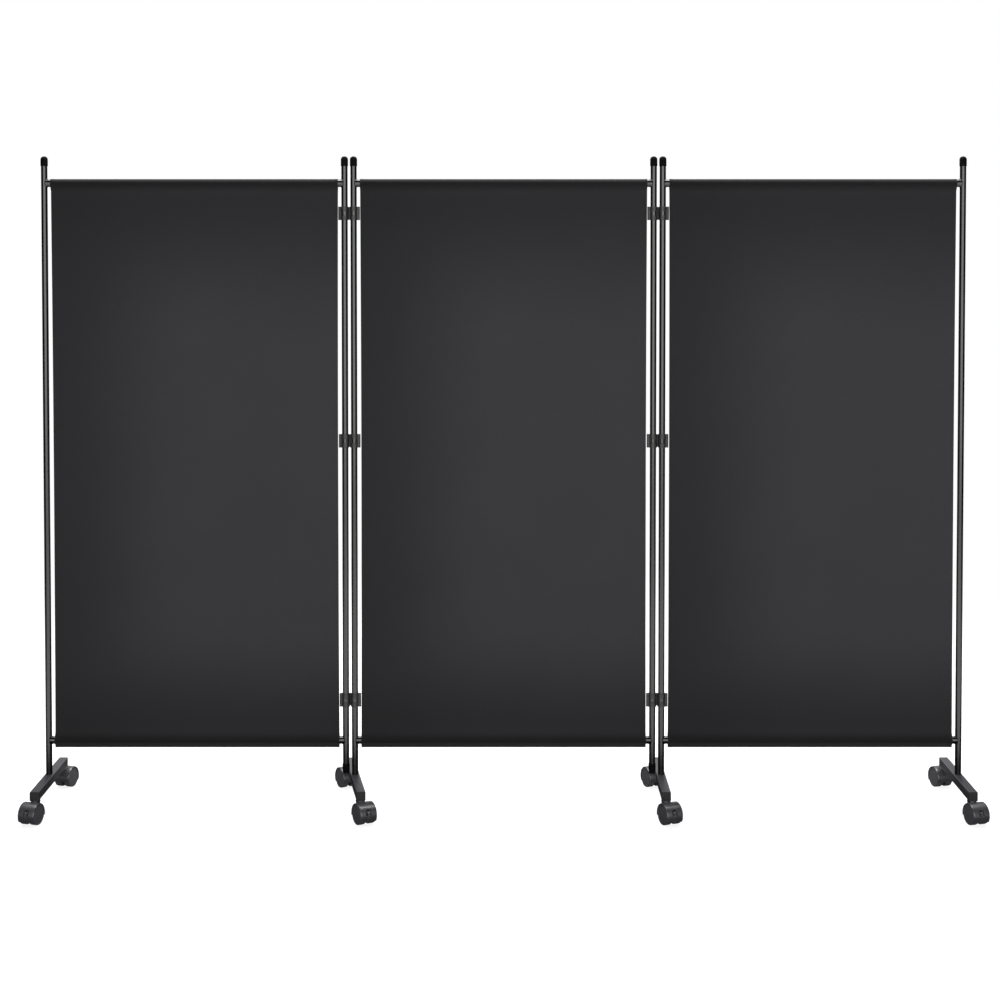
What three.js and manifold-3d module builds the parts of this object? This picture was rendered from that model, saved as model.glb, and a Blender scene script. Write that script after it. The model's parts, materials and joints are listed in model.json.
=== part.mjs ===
// Three-panel privacy screen on castored feet.
// Millimetres, +Z up, +X to the right as seen from the front, +Y away from the front.
// The origin lies on the floor at the middle of the screen.
import * as THREE from "three";
import { mergeVertices } from "three/addons/utils/BufferGeometryUtils.js";
import Module from "manifold-3d";

const wasm = await Module();
wasm.setup();

// Overall size and the spacing of the panels
const POST_SPAN = 2532; // centre to centre of the two outermost posts
const TOTAL_HEIGHT = 1803;
const HINGE_SPACING = 25; // centre to centre of the two posts at a hinge
const PANEL_COUNT = 3;
const HINGE_COUNT = PANEL_COUNT - 1;

// Running gap between pieces that touch on the real screen
const GAP = 0.3;
const CUT_OVERRUN = 2; // how far a cutting tool runs past the face that it cuts

// Upright posts, round steel tube
const POST_RADIUS = 8.75;
const POST_WALL = 1.2;

// Plastic caps pushed over the post ends
const CAP_RADIUS = 10;
const CAP_HEIGHT = 27;
const CAP_DOME = 8;
const CAP_ROOF = 4;

// Horizontal rails, round steel tube
const RAIL_RADIUS = 10.5;
const RAIL_WALL = 1.2;
const TOP_RAIL_DROP = 74; // from the top of the screen to the middle of the top rail
const BOTTOM_RAIL_HEIGHT = 181;
const RAIL_LAP = 4; // from the post's axis to the tips of the coped rail end

// Stretched fabric with a pocket round each rail
const FABRIC_THICKNESS = 1.6;
const POCKET_CLEARANCE = 0.4;
const FABRIC_SIDE_GAP = 9.25; // from the post's surface to the fabric's edge
const POCKET_SEAM_DROP = 22; // from the rail's middle to the seam that closes its pocket
const HEM_DROP = 20; // from the bottom rail's middle to the lower edge of the fabric
const HEM_SEAM_DROP = 15;

// Hinge clips, each a pair of split rings joined by a web
const CLIP_HEIGHT = 37;
const CLIP_WALL = 2;
const CLIP_LIP_REACH = 6; // how far the split lips stand out past a ring
const CLIP_LIP_THICKNESS = 2.4;
const CLIP_SPLIT = 1.2;
const CLIP_WEB_THICKNESS = 12;
const CLIP_WINDOW_HEIGHT = 12;
const CLIP_WINDOW_WIDTH = 11;
const CLIP_WINDOW_DEPTH = 5; // from the front of the ring inwards
const TOP_CLIP_DROP = 83; // from the middle of the top rail to the middle of the clip
const BOTTOM_CLIP_RISE = 113; // from the middle of the bottom rail to the middle of the clip
const MIDDLE_CLIP_SHARE = 0.54; // of the way up from the bottom rail to the top rail

// Foot bars, square steel tube
const BAR_SIZE = 25;
const BAR_WALL = 1.5;
const BAR_LENGTH = 330;
const BAR_CORNER = 2.5;
const BAR_UNDERSIDE = 60;
const SPIGOT_HEIGHT = 40;
const CAPPED_POST_RISE = 3; // from the foot bar's top to the capped end of the neighbouring post

// Plugs in the ends of the foot bars
const PLUG_FACE = 2.5;
const PLUG_INSERT = 5;
const PLUG_RECESS_DEPTH = 1;
const PLUG_RECESS_MARGIN = 4.5;

// Swivel casters with twin wheels under a hood
const STEM_INSET = 16; // from the bar's end to the stem's axis
const STEM_RADIUS = 4;
const STEM_LENGTH = 19;
const SOCKET_RADIUS = 6.5;
const BOSS_RADIUS = 13;
const BOSS_FOOT_RADIUS = 8;
const BOSS_HEIGHT = 21;
const WHEEL_RADIUS = 27;
const WHEEL_WIDTH = 19;
const WHEEL_EDGE = 2.5; // rounding at the edges of the tread
const WHEEL_PITCH = 29; // centre to centre of the two wheels
const WHEEL_SIDE_GAP = 0.5;
const TREAD_CLEARANCE = 1;
const HOOD_WALL = 2;
const AXLE_RADIUS = 3;
const TRAIL = 23; // from the stem's axis to the axle
const HOOD_START = THREE.MathUtils.degToRad(-30); // measured from the trailing side upwards
const HOOD_END = THREE.MathUtils.degToRad(195);

// Brake levers in the hoods of the front casters, their angles measured as the hood's are
const LEVER_PIVOT_REACH = 10; // from the axle to the lever's pivot
const LEVER_ANGLE = THREE.MathUtils.degToRad(-5);
const LEVER_TRAVEL = THREE.MathUtils.degToRad(15);
const LEVER_BLADE = 4.4;
const LEVER_THICKNESS = 4;
const LEVER_HUB_RADIUS = 3.5;
const LEVER_PIN_RADIUS = 1.9;
const LEVER_CLEARANCE = 0.7;
const TAB_WIDTH = 17;
const TAB_THICKNESS = 2.5;
const TAB_REACH = 34; // from the axle to the tab's outer face
const TAB_FOOT = THREE.MathUtils.degToRad(-24);
const TAB_HEAD = THREE.MathUtils.degToRad(13);
const HOOD_SLOT_WIDTH = 12;
const HOOD_SLOT_HEAD = THREE.MathUtils.degToRad(37);

// The direction in which the casters of each foot stand, in degrees from square
const LEFT_OUTER_YAW = -16;
const LEFT_INNER_YAW = 30;
const RIGHT_INNER_YAW = 23;
const RIGHT_OUTER_YAW = 16;

// How far the left inner foot is turned on its post, in degrees
const LEFT_INNER_TURN = 10;

// How finely round pieces are faceted
const TUBE_SIDES = 16;
const CLIP_SIDES = 16;
const WHEEL_SIDES = 20;
const CAP_SIDES = 16;
const STEM_SIDES = 10;
const CORNER_STEPS = 3;
const HOOD_STEPS = 10;
const POCKET_STEPS = 8; // for half a turn
const BAR_CORNER_STEPS = 1; // for half a corner

// Sizes worked out from the ones above
const PANEL_PITCH = (POST_SPAN - HINGE_COUNT * HINGE_SPACING) / PANEL_COUNT;
const TOP_RAIL_HEIGHT = TOTAL_HEIGHT - TOP_RAIL_DROP;
const BAR_TOP = BAR_UNDERSIDE + BAR_SIZE;
const FOOTED_POST_BOTTOM = BAR_TOP + GAP;
const CAPPED_POST_BOTTOM = BAR_TOP + CAPPED_POST_RISE;
const CAP_CAVITY = CAP_HEIGHT - CAP_ROOF;
const POST_TOP = TOTAL_HEIGHT - CAP_ROOF - GAP;
const STEM_OFFSET = BAR_LENGTH / 2 - STEM_INSET;
const STEM_BORE = STEM_RADIUS + GAP;
const HOOD_INNER_RADIUS = WHEEL_RADIUS + TREAD_CLEARANCE;
const HOOD_RADIUS = HOOD_INNER_RADIUS + HOOD_WALL;
const WEB_WIDTH = WHEEL_PITCH - WHEEL_WIDTH - 2 * WHEEL_SIDE_GAP;
const CASTER_WIDTH = WHEEL_PITCH + WHEEL_WIDTH;
const BOSS_TOP = BAR_UNDERSIDE - GAP;
const POCKET_RADIUS = RAIL_RADIUS + POCKET_CLEARANCE;
const CLIP_RING_RADIUS = POST_RADIUS + GAP + CLIP_WALL;
const CLIP_BORE = POST_RADIUS + GAP;

// Finishes
const finish = (color, roughness, metalness) => new THREE.MeshStandardMaterial({ color, roughness, metalness });
const blackPowderCoat = () => finish(0x202022, 0.42, 0.3);
const charcoalFabric = () => finish(0x343436, 0.95, 0);
const capPlastic = () => finish(0x0e0e0f, 0.45, 0);
const clipPlastic = () => finish(0x3a3a39, 0.5, 0);
const casterPlastic = () => finish(0x333337, 0.4, 0);
const wheelPlastic = () => finish(0x3b3b40, 0.48, 0);
const leverPlastic = () => finish(0x45454a, 0.45, 0);
const plugPlastic = () => finish(0x2c2c2e, 0.55, 0);

// A closed geometry as a solid that can be cut and joined
function solid(geometry) {
  const bare = geometry.clone();
  bare.deleteAttribute("normal");
  bare.deleteAttribute("uv");
  const merged = mergeVertices(bare);
  return new wasm.Manifold(
    new wasm.Mesh({
      numProp: 3,
      vertProperties: new Float32Array(merged.attributes.position.array),
      triVerts: new Uint32Array(merged.index.array),
    }),
  );
}

// A solid as a geometry again
function geometryOf(body) {
  const cut = body.getMesh();
  const geometry = new THREE.BufferGeometry();
  geometry.setAttribute("position", new THREE.BufferAttribute(cut.vertProperties, 3));
  geometry.setIndex(new THREE.BufferAttribute(cut.triVerts, 1));
  const flat = geometry.toNonIndexed();
  flat.computeVertexNormals();
  return flat;
}

const meshOf = (name, body, material) => {
  const mesh = new THREE.Mesh(geometryOf(body), material);
  mesh.name = name;
  return mesh;
};

// An upright tube or rod standing on z = 0
function uprightTube(radius, bore, height, sides) {
  const profile = [
    new THREE.Vector2(bore, 0),
    new THREE.Vector2(radius, 0),
    new THREE.Vector2(radius, height),
    new THREE.Vector2(bore, height),
  ];
  if (bore > 0) profile.push(profile[0].clone());
  return new THREE.LatheGeometry(profile, sides).rotateX(Math.PI / 2);
}

const uprightRod = (radius, height, sides) => uprightTube(radius, 0, height, sides);

// A rod along X, centred on the origin
const crossRod = (radius, length, sides) =>
  uprightRod(radius, length, sides)
    .translate(0, 0, -length / 2)
    .rotateY(Math.PI / 2);

// A shape drawn in Y and Z, given its width along X and centred there
const SHAPE_TO_YZ = new THREE.Matrix4().makeBasis(
  new THREE.Vector3(0, 1, 0),
  new THREE.Vector3(0, 0, 1),
  new THREE.Vector3(1, 0, 0),
);
const acrossX = (shape, width, curveSegments) =>
  new THREE.ExtrudeGeometry(shape, { depth: width, bevelEnabled: false, curveSegments })
    .translate(0, 0, -width / 2)
    .applyMatrix4(SHAPE_TO_YZ);

// A box centred on x and y, standing on z = 0
const standingBox = (x, y, z) => new THREE.BoxGeometry(x, y, z).translate(0, 0, z / 2);

// A square with rounded corners
function roundedSquare(size, corner) {
  const half = size / 2;
  const inset = half - corner;
  const shape = new THREE.Shape();
  shape.absarc(inset, inset, corner, 0, Math.PI / 2);
  shape.absarc(-inset, inset, corner, Math.PI / 2, Math.PI);
  shape.absarc(-inset, -inset, corner, Math.PI, 1.5 * Math.PI);
  shape.absarc(inset, -inset, corner, 1.5 * Math.PI, 2 * Math.PI);
  shape.closePath();
  return shape;
}

// A square bar along Y, centred on the origin
const barAlongY = (shape, length) =>
  new THREE.ExtrudeGeometry(shape, { depth: length, bevelEnabled: false, curveSegments: BAR_CORNER_STEPS })
    .translate(0, 0, -length / 2)
    .rotateX(Math.PI / 2);

// Post cap: a cup with a domed roof, open downwards, standing on z = 0
function capSolid(bore) {
  const shoulder = CAP_HEIGHT - CAP_DOME;
  const profile = [new THREE.Vector2(0, CAP_CAVITY), new THREE.Vector2(bore, CAP_CAVITY)];
  profile.push(new THREE.Vector2(bore, 0), new THREE.Vector2(CAP_RADIUS, 0));
  for (let step = 0; step < CORNER_STEPS; step += 1) {
    const turn = (step / CORNER_STEPS) * (Math.PI / 2);
    profile.push(new THREE.Vector2(CAP_RADIUS * Math.cos(turn), shoulder + CAP_DOME * Math.sin(turn)));
  }
  profile.push(new THREE.Vector2(0, CAP_HEIGHT));
  return solid(new THREE.LatheGeometry(profile, CAP_SIDES).rotateX(Math.PI / 2));
}

// Post standing on a foot bar
function footedPost(name) {
  const height = POST_TOP - FOOTED_POST_BOTTOM;
  const tube = solid(uprightTube(POST_RADIUS, POST_RADIUS - POST_WALL, height, TUBE_SIDES));
  const mesh = meshOf(name, tube, blackPowderCoat());
  mesh.position.z = FOOTED_POST_BOTTOM;
  return mesh;
}

// Post that hangs from its hinge clips, its lower end closed by a cap
function cappedPost(name) {
  const lowerRoof = CAP_ROOF / 2;
  const height = POST_TOP - CAPPED_POST_BOTTOM - lowerRoof;
  const tube = solid(
    uprightTube(POST_RADIUS, POST_RADIUS - POST_WALL, height, TUBE_SIDES).translate(0, 0, lowerRoof),
  );
  const lowerCap = capSolid(POST_RADIUS - POST_WALL / 2).rotate([180, 0, 0]).translate([0, 0, CAP_HEIGHT]);
  const mesh = meshOf(name, tube.add(lowerCap), blackPowderCoat());
  mesh.position.z = CAPPED_POST_BOTTOM;
  return mesh;
}

function topCap(name) {
  const mesh = meshOf(name, capSolid(POST_RADIUS + GAP), capPlastic());
  mesh.position.z = TOTAL_HEIGHT - CAP_HEIGHT;
  return mesh;
}

// Rail between two posts, its ends coped to fit round them
function rail(name, height) {
  const length = PANEL_PITCH - 2 * RAIL_LAP;
  const tube = solid(
    uprightTube(RAIL_RADIUS, RAIL_RADIUS - RAIL_WALL, length, TUBE_SIDES)
      .translate(0, 0, -length / 2)
      .rotateY(Math.PI / 2),
  );
  const copeHeight = 2 * (RAIL_RADIUS + CUT_OVERRUN);
  const cope = uprightRod(POST_RADIUS + GAP, copeHeight, TUBE_SIDES).translate(0, 0, -copeHeight / 2);
  const leftCope = solid(cope.clone().translate(-PANEL_PITCH / 2, 0, 0));
  const rightCope = solid(cope.clone().translate(PANEL_PITCH / 2, 0, 0));
  const mesh = meshOf(name, tube.subtract(leftCope).subtract(rightCope), blackPowderCoat());
  mesh.position.z = height;
  return mesh;
}

// Fabric drawn from its edge: a flat sheet with a pocket round each rail and a hem below
function fabric(name) {
  const half = FABRIC_THICKNESS / 2;
  const outer = POCKET_RADIUS + FABRIC_THICKNESS;
  const side = [];
  const pocket = (middle, from, to) => {
    for (let step = 0; step <= POCKET_STEPS; step += 1) {
      const turn = from + (to - from) * (step / POCKET_STEPS);
      side.push(new THREE.Vector2(outer * Math.cos(turn), middle + outer * Math.sin(turn)));
    }
  };
  const seamTurn = Math.acos(outer / POCKET_SEAM_DROP);
  const hemTurn = Math.acos(outer / HEM_SEAM_DROP);
  side.push(new THREE.Vector2(half, BOTTOM_RAIL_HEIGHT - HEM_DROP));
  side.push(new THREE.Vector2(half, BOTTOM_RAIL_HEIGHT - HEM_SEAM_DROP));
  pocket(BOTTOM_RAIL_HEIGHT, hemTurn - Math.PI / 2, Math.PI / 2 - seamTurn);
  side.push(new THREE.Vector2(half, BOTTOM_RAIL_HEIGHT + POCKET_SEAM_DROP));
  side.push(new THREE.Vector2(half, TOP_RAIL_HEIGHT - POCKET_SEAM_DROP));
  pocket(TOP_RAIL_HEIGHT, seamTurn - Math.PI / 2, Math.PI / 2);
  const back = side.slice(0, -1).reverse().map((point) => new THREE.Vector2(-point.x, point.y));
  const shape = new THREE.Shape([...side, ...back]);
  for (const middle of [BOTTOM_RAIL_HEIGHT, TOP_RAIL_HEIGHT]) {
    shape.holes.push(new THREE.Path().absarc(0, middle, POCKET_RADIUS, 0, 2 * Math.PI, true));
  }
  const width = PANEL_PITCH - 2 * (POST_RADIUS + FABRIC_SIDE_GAP);
  return meshOf(name, solid(acrossX(shape, width, POCKET_STEPS)), charcoalFabric());
}

// Hinge clip: two split rings side by side, with a window in the front of each
function hingeClip(name) {
  const reach = HINGE_SPACING / 2;
  const lipStart = reach + POST_RADIUS + GAP;
  const lipEnd = reach + CLIP_RING_RADIUS + CLIP_LIP_REACH;
  const lipDepth = 2 * CLIP_LIP_THICKNESS + CLIP_SPLIT;
  let body = solid(standingBox(HINGE_SPACING, CLIP_WEB_THICKNESS, CLIP_HEIGHT));
  for (const side of [-1, 1]) {
    const ring = uprightRod(CLIP_RING_RADIUS, CLIP_HEIGHT, CLIP_SIDES).translate(side * reach, 0, 0);
    const lips = standingBox(lipEnd - lipStart, lipDepth, CLIP_HEIGHT);
    body = body.add(solid(ring)).add(solid(lips.translate((side * (lipStart + lipEnd)) / 2, 0, 0)));
  }
  const cutHeight = CLIP_HEIGHT + 2 * CUT_OVERRUN;
  for (const side of [-1, 1]) {
    const bore = uprightRod(CLIP_BORE, cutHeight, CLIP_SIDES).translate(side * reach, 0, -CUT_OVERRUN);
    const splitLength = lipEnd + CUT_OVERRUN - reach;
    const split = standingBox(splitLength, CLIP_SPLIT, cutHeight);
    split.translate(side * (reach + splitLength / 2), 0, -CUT_OVERRUN);
    const windowDepth = CLIP_WINDOW_DEPTH + CUT_OVERRUN;
    const opening = new THREE.BoxGeometry(CLIP_WINDOW_WIDTH, windowDepth, CLIP_WINDOW_HEIGHT);
    const openingMiddle = CLIP_WINDOW_DEPTH - windowDepth / 2 - CLIP_RING_RADIUS;
    opening.translate(side * reach, openingMiddle, CLIP_HEIGHT / 2);
    body = body.subtract(solid(bore)).subtract(solid(split)).subtract(solid(opening));
  }
  return meshOf(name, body, clipPlastic());
}

// Foot bar with a spigot that fits up inside its post and a socket for each caster stem
function footBar(name) {
  const outline = roundedSquare(BAR_SIZE, BAR_CORNER);
  outline.holes.push(roundedSquare(BAR_SIZE - 2 * BAR_WALL, BAR_CORNER - BAR_WALL));
  const length = BAR_LENGTH - 2 * PLUG_FACE;
  const middle = BAR_UNDERSIDE + BAR_SIZE / 2;
  const spigotRadius = POST_RADIUS - POST_WALL - GAP;
  const spigotFoot = BAR_TOP - BAR_WALL;
  const spigot = uprightRod(spigotRadius, SPIGOT_HEIGHT + BAR_WALL, STEM_SIDES).translate(0, 0, spigotFoot);
  let body = solid(barAlongY(outline, length).translate(0, 0, middle)).add(solid(spigot));
  for (const end of [-1, 1]) {
    const socketHeight = BAR_SIZE - BAR_WALL;
    const socketFoot = BAR_UNDERSIDE + BAR_WALL / 2;
    const socket = uprightRod(SOCKET_RADIUS, socketHeight, STEM_SIDES).translate(0, end * STEM_OFFSET, socketFoot);
    body = body.add(solid(socket));
  }
  for (const end of [-1, 1]) {
    const boreHeight = STEM_LENGTH + GAP + CUT_OVERRUN;
    const boreFoot = BAR_UNDERSIDE - CUT_OVERRUN;
    const bore = uprightRod(STEM_BORE, boreHeight, STEM_SIDES).translate(0, end * STEM_OFFSET, boreFoot);
    body = body.subtract(solid(bore));
  }
  return meshOf(name, body, blackPowderCoat());
}

// Plug with a recessed face, drawn with the face towards -Y
function barPlug(name) {
  const middle = BAR_UNDERSIDE + BAR_SIZE / 2;
  const insertSize = BAR_SIZE - 2 * (BAR_WALL + GAP);
  const faceLength = PLUG_FACE - GAP;
  const face = barAlongY(roundedSquare(BAR_SIZE, BAR_CORNER), faceLength).translate(0, faceLength / 2, 0);
  const insertLength = PLUG_INSERT + GAP;
  const insert = new THREE.BoxGeometry(insertSize, insertLength, insertSize);
  insert.translate(0, faceLength + insertLength / 2 - GAP, 0);
  const recessSize = BAR_SIZE - 2 * PLUG_RECESS_MARGIN;
  const recessLength = PLUG_RECESS_DEPTH + CUT_OVERRUN;
  const recess = new THREE.BoxGeometry(recessSize, recessLength, recessSize);
  recess.translate(0, PLUG_RECESS_DEPTH - recessLength / 2, 0);
  const body = solid(face).add(solid(insert)).subtract(solid(recess));
  return meshOf(name, body.translate([0, -BAR_LENGTH / 2, middle]), plugPlastic());
}

// A point at a distance from the axle and an angle from the trailing side upwards
const aroundAxle = (reach, turn) =>
  new THREE.Vector2(-TRAIL - reach * Math.cos(turn), WHEEL_RADIUS + reach * Math.sin(turn));

// A ring sector round the axle, or with no inner radius a filled one closed by its chord
function sector(outerRadius, innerRadius, from, to, steps) {
  const outer = [];
  const inner = [];
  for (let step = 0; step <= steps; step += 1) {
    const turn = from + (to - from) * (step / steps);
    outer.push(aroundAxle(outerRadius, turn));
    if (innerRadius > 0) inner.unshift(aroundAxle(innerRadius, turn));
  }
  return new THREE.Shape([...outer, ...inner]);
}

// Caster housing: hood, web between the wheels, boss and stem, trailing towards -Y
function casterHousing(name, braked) {
  const hood = sector(HOOD_RADIUS, HOOD_INNER_RADIUS, HOOD_START, HOOD_END, HOOD_STEPS);
  const web = sector(HOOD_INNER_RADIUS + HOOD_WALL / 2, 0, HOOD_START, HOOD_END, HOOD_STEPS);
  const boss = new THREE.CylinderGeometry(BOSS_RADIUS, BOSS_FOOT_RADIUS, BOSS_HEIGHT, TUBE_SIDES)
    .rotateX(Math.PI / 2)
    .translate(0, 0, BOSS_TOP - BOSS_HEIGHT / 2);
  const stemHeight = STEM_LENGTH + GAP + CUT_OVERRUN;
  const stemFoot = BOSS_TOP - CUT_OVERRUN;
  const stem = uprightRod(STEM_RADIUS, stemHeight - GAP, STEM_SIDES).translate(0, 0, stemFoot);
  let body = solid(boss);
  for (const side of [-1, 1]) {
    const wellWidth = CASTER_WIDTH / 2;
    const well = crossRod(HOOD_INNER_RADIUS, wellWidth, WHEEL_SIDES);
    well.translate(side * (WEB_WIDTH / 2 + wellWidth / 2), -TRAIL, WHEEL_RADIUS);
    body = body.subtract(solid(well));
  }
  body = body.add(solid(acrossX(hood, CASTER_WIDTH))).add(solid(acrossX(web, WEB_WIDTH))).add(solid(stem));
  const axleBore = crossRod(AXLE_RADIUS + GAP, WEB_WIDTH + CUT_OVERRUN, STEM_SIDES);
  body = body.subtract(solid(axleBore.translate(0, -TRAIL, WHEEL_RADIUS)));
  if (braked) body = cutForLever(body);
  return meshOf(name, body, casterPlastic());
}

// The slot in the hood, the fork in the web and the bearings of the brake lever
function cutForLever(body) {
  const pivot = aroundAxle(LEVER_PIVOT_REACH, LEVER_ANGLE);
  const swing = (HOOD_RADIUS - LEVER_PIVOT_REACH) * Math.sin(LEVER_TRAVEL);
  const room = LEVER_THICKNESS / 2 + LEVER_CLEARANCE + swing;
  const slotFoot = LEVER_ANGLE - room / HOOD_INNER_RADIUS;
  const slotOuter = HOOD_RADIUS + CUT_OVERRUN;
  const slotInner = HOOD_INNER_RADIUS - CUT_OVERRUN;
  const hoodSlot = sector(slotOuter, slotInner, slotFoot, HOOD_SLOT_HEAD, CORNER_STEPS);
  const forkSlot = sector(slotOuter, LEVER_PIVOT_REACH, slotFoot, HOOD_SLOT_HEAD, CORNER_STEPS);
  const forkWidth = LEVER_BLADE + 2 * GAP;
  const hubRoom = crossRod(LEVER_HUB_RADIUS + LEVER_CLEARANCE, forkWidth, STEM_SIDES);
  const bearing = crossRod(LEVER_PIN_RADIUS + GAP, WEB_WIDTH + CUT_OVERRUN, STEM_SIDES);
  return body
    .subtract(solid(acrossX(hoodSlot, HOOD_SLOT_WIDTH)))
    .subtract(solid(acrossX(forkSlot, forkWidth)))
    .subtract(solid(hubRoom.translate(0, pivot.x, pivot.y)))
    .subtract(solid(bearing.translate(0, pivot.x, pivot.y)));
}

// Brake lever: a blade on a cross pin, with a wide curved tab in front of the hood
function brakeLever(name) {
  const pivot = aroundAxle(LEVER_PIVOT_REACH, LEVER_ANGLE);
  const bladeLength = TAB_REACH - TAB_THICKNESS / 2 - LEVER_PIVOT_REACH;
  const blade = new THREE.BoxGeometry(LEVER_BLADE, bladeLength, LEVER_THICKNESS)
    .translate(0, bladeLength / 2, 0)
    .rotateX(Math.PI - LEVER_ANGLE);
  const tab = sector(TAB_REACH, TAB_REACH - TAB_THICKNESS, TAB_FOOT, TAB_HEAD, CORNER_STEPS);
  const hub = crossRod(LEVER_HUB_RADIUS, LEVER_BLADE, STEM_SIDES).translate(0, pivot.x, pivot.y);
  const pin = crossRod(LEVER_PIN_RADIUS, WEB_WIDTH - 2 * GAP, STEM_SIDES).translate(0, pivot.x, pivot.y);
  const body = solid(blade.translate(0, pivot.x, pivot.y))
    .add(solid(acrossX(tab, TAB_WIDTH)))
    .add(solid(hub))
    .add(solid(pin));
  return meshOf(name, body, leverPlastic());
}

// Wheel pair on its axle, turned half a facet so that a flat of each tread meets the floor
function wheelPair(name) {
  const facet = Math.cos(Math.PI / WHEEL_SIDES);
  const tread = WHEEL_RADIUS / facet;
  const inner = WHEEL_PITCH / 2 - WHEEL_WIDTH / 2;
  const outer = WHEEL_PITCH / 2 + WHEEL_WIDTH / 2;
  const wheel = [
    new THREE.Vector2(AXLE_RADIUS, inner),
    new THREE.Vector2(tread - WHEEL_EDGE, inner),
    new THREE.Vector2(tread, inner + WHEEL_EDGE),
    new THREE.Vector2(tread, outer - WHEEL_EDGE),
    new THREE.Vector2(tread - WHEEL_EDGE, outer),
    new THREE.Vector2(0, outer),
  ];
  const mirrored = wheel.map((point) => new THREE.Vector2(point.x, -point.y)).reverse();
  const pair = new THREE.LatheGeometry([...mirrored, ...wheel], WHEEL_SIDES)
    .rotateY(Math.PI / WHEEL_SIDES)
    .rotateZ(-Math.PI / 2)
    .translate(0, -TRAIL, WHEEL_RADIUS);
  return meshOf(name, solid(pair), wheelPlastic());
}

// One caster in a turned group
function caster(name, end, yawDegrees, braked) {
  const group = new THREE.Group();
  group.add(casterHousing(name + "_caster_housing", braked));
  group.add(wheelPair(name + "_caster_wheels"));
  if (braked) group.add(brakeLever(name + "_brake_lever"));
  group.position.y = end * STEM_OFFSET;
  group.rotation.z = THREE.MathUtils.degToRad(yawDegrees) + (end > 0 ? Math.PI : 0);
  return group;
}

// One foot: the bar, its two plugs and its two casters, turned on its post
function foot(name, yawDegrees, turnDegrees) {
  const group = new THREE.Group();
  group.rotation.z = THREE.MathUtils.degToRad(turnDegrees);
  group.add(footBar(name + "_foot_bar"));
  group.add(barPlug(name + "_front_bar_plug"));
  const rearPlug = barPlug(name + "_rear_bar_plug");
  rearPlug.rotation.z = Math.PI;
  group.add(rearPlug);
  group.add(caster(name + "_front", -1, yawDegrees - turnDegrees, true));
  group.add(caster(name + "_rear", 1, yawDegrees - turnDegrees, false));
  return group;
}

// One panel, centred on its middle, with a foot under each post that has a yaw given for it
function panel(name, feet) {
  const group = new THREE.Group();
  for (const [side, end] of [["left", -1], ["right", 1]]) {
    const post = new THREE.Group();
    const footing = feet[side];
    post.add(footing ? footedPost(name + "_" + side + "_post") : cappedPost(name + "_" + side + "_post"));
    post.add(topCap(name + "_" + side + "_post_cap"));
    if (footing) post.add(foot(footing.name, footing.yaw, footing.turn ?? 0));
    post.position.x = (end * PANEL_PITCH) / 2;
    group.add(post);
  }
  group.add(rail(name + "_top_rail", TOP_RAIL_HEIGHT));
  group.add(rail(name + "_bottom_rail", BOTTOM_RAIL_HEIGHT));
  group.add(fabric(name + "_fabric"));
  return group;
}

// The three clips of one hinge
function hinge(name) {
  const group = new THREE.Group();
  const clips = [
    ["top", TOP_RAIL_HEIGHT - TOP_CLIP_DROP],
    ["middle", BOTTOM_RAIL_HEIGHT + MIDDLE_CLIP_SHARE * (TOP_RAIL_HEIGHT - BOTTOM_RAIL_HEIGHT)],
    ["bottom", BOTTOM_RAIL_HEIGHT + BOTTOM_CLIP_RISE],
  ];
  for (const [place, height] of clips) {
    const clip = hingeClip(name + "_hinge_clip_" + place);
    clip.position.z = height - CLIP_HEIGHT / 2;
    group.add(clip);
  }
  return group;
}

const screen = new THREE.Group();
const panels = [
  panel("left_panel", { left: { name: "left_outer", yaw: LEFT_OUTER_YAW } }),
  panel("middle_panel", { left: { name: "left_inner", yaw: LEFT_INNER_YAW, turn: LEFT_INNER_TURN } }),
  panel("right_panel", {
    left: { name: "right_inner", yaw: RIGHT_INNER_YAW },
    right: { name: "right_outer", yaw: RIGHT_OUTER_YAW },
  }),
];
panels.forEach((group, index) => {
  group.position.x = (index - HINGE_COUNT / 2) * (PANEL_PITCH + HINGE_SPACING);
  screen.add(group);
});
["left", "right"].forEach((name, index) => {
  const group = hinge(name);
  group.position.x = (index - HINGE_COUNT / 2 + 1 / 2) * (PANEL_PITCH + HINGE_SPACING);
  screen.add(group);
});

export default screen;
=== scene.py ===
import json
from functools import partial
from math import acos, atan2, copysign, cos, exp, hypot, pi, radians, sin, sqrt, tau

import bmesh
import bpy
from mathutils import Matrix, Vector


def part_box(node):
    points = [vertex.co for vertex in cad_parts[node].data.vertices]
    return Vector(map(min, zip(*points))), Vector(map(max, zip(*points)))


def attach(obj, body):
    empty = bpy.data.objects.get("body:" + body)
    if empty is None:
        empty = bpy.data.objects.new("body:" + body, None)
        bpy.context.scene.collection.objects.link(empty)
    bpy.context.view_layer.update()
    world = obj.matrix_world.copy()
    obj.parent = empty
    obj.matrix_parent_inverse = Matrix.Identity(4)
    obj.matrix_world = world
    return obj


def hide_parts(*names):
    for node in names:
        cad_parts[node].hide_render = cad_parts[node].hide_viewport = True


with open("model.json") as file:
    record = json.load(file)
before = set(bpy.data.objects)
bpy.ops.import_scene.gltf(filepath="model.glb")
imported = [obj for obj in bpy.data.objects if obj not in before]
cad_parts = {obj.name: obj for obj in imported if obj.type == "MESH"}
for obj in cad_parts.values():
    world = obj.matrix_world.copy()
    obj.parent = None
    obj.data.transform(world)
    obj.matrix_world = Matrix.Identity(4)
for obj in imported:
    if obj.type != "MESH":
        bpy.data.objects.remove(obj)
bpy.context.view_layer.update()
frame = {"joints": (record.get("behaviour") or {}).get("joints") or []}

bl_info = {
    "name": "Ward Privacy Screen",
    "version": (1, 0, 0),
    "blender": (4, 5, 0),
    "location": "3D View > Sidebar > Screen",
    "description": "Dresses a three-panel rolling screen: tubes, caps, cloths, clips, feet and casters",
    "category": "Add Mesh",
}

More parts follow.
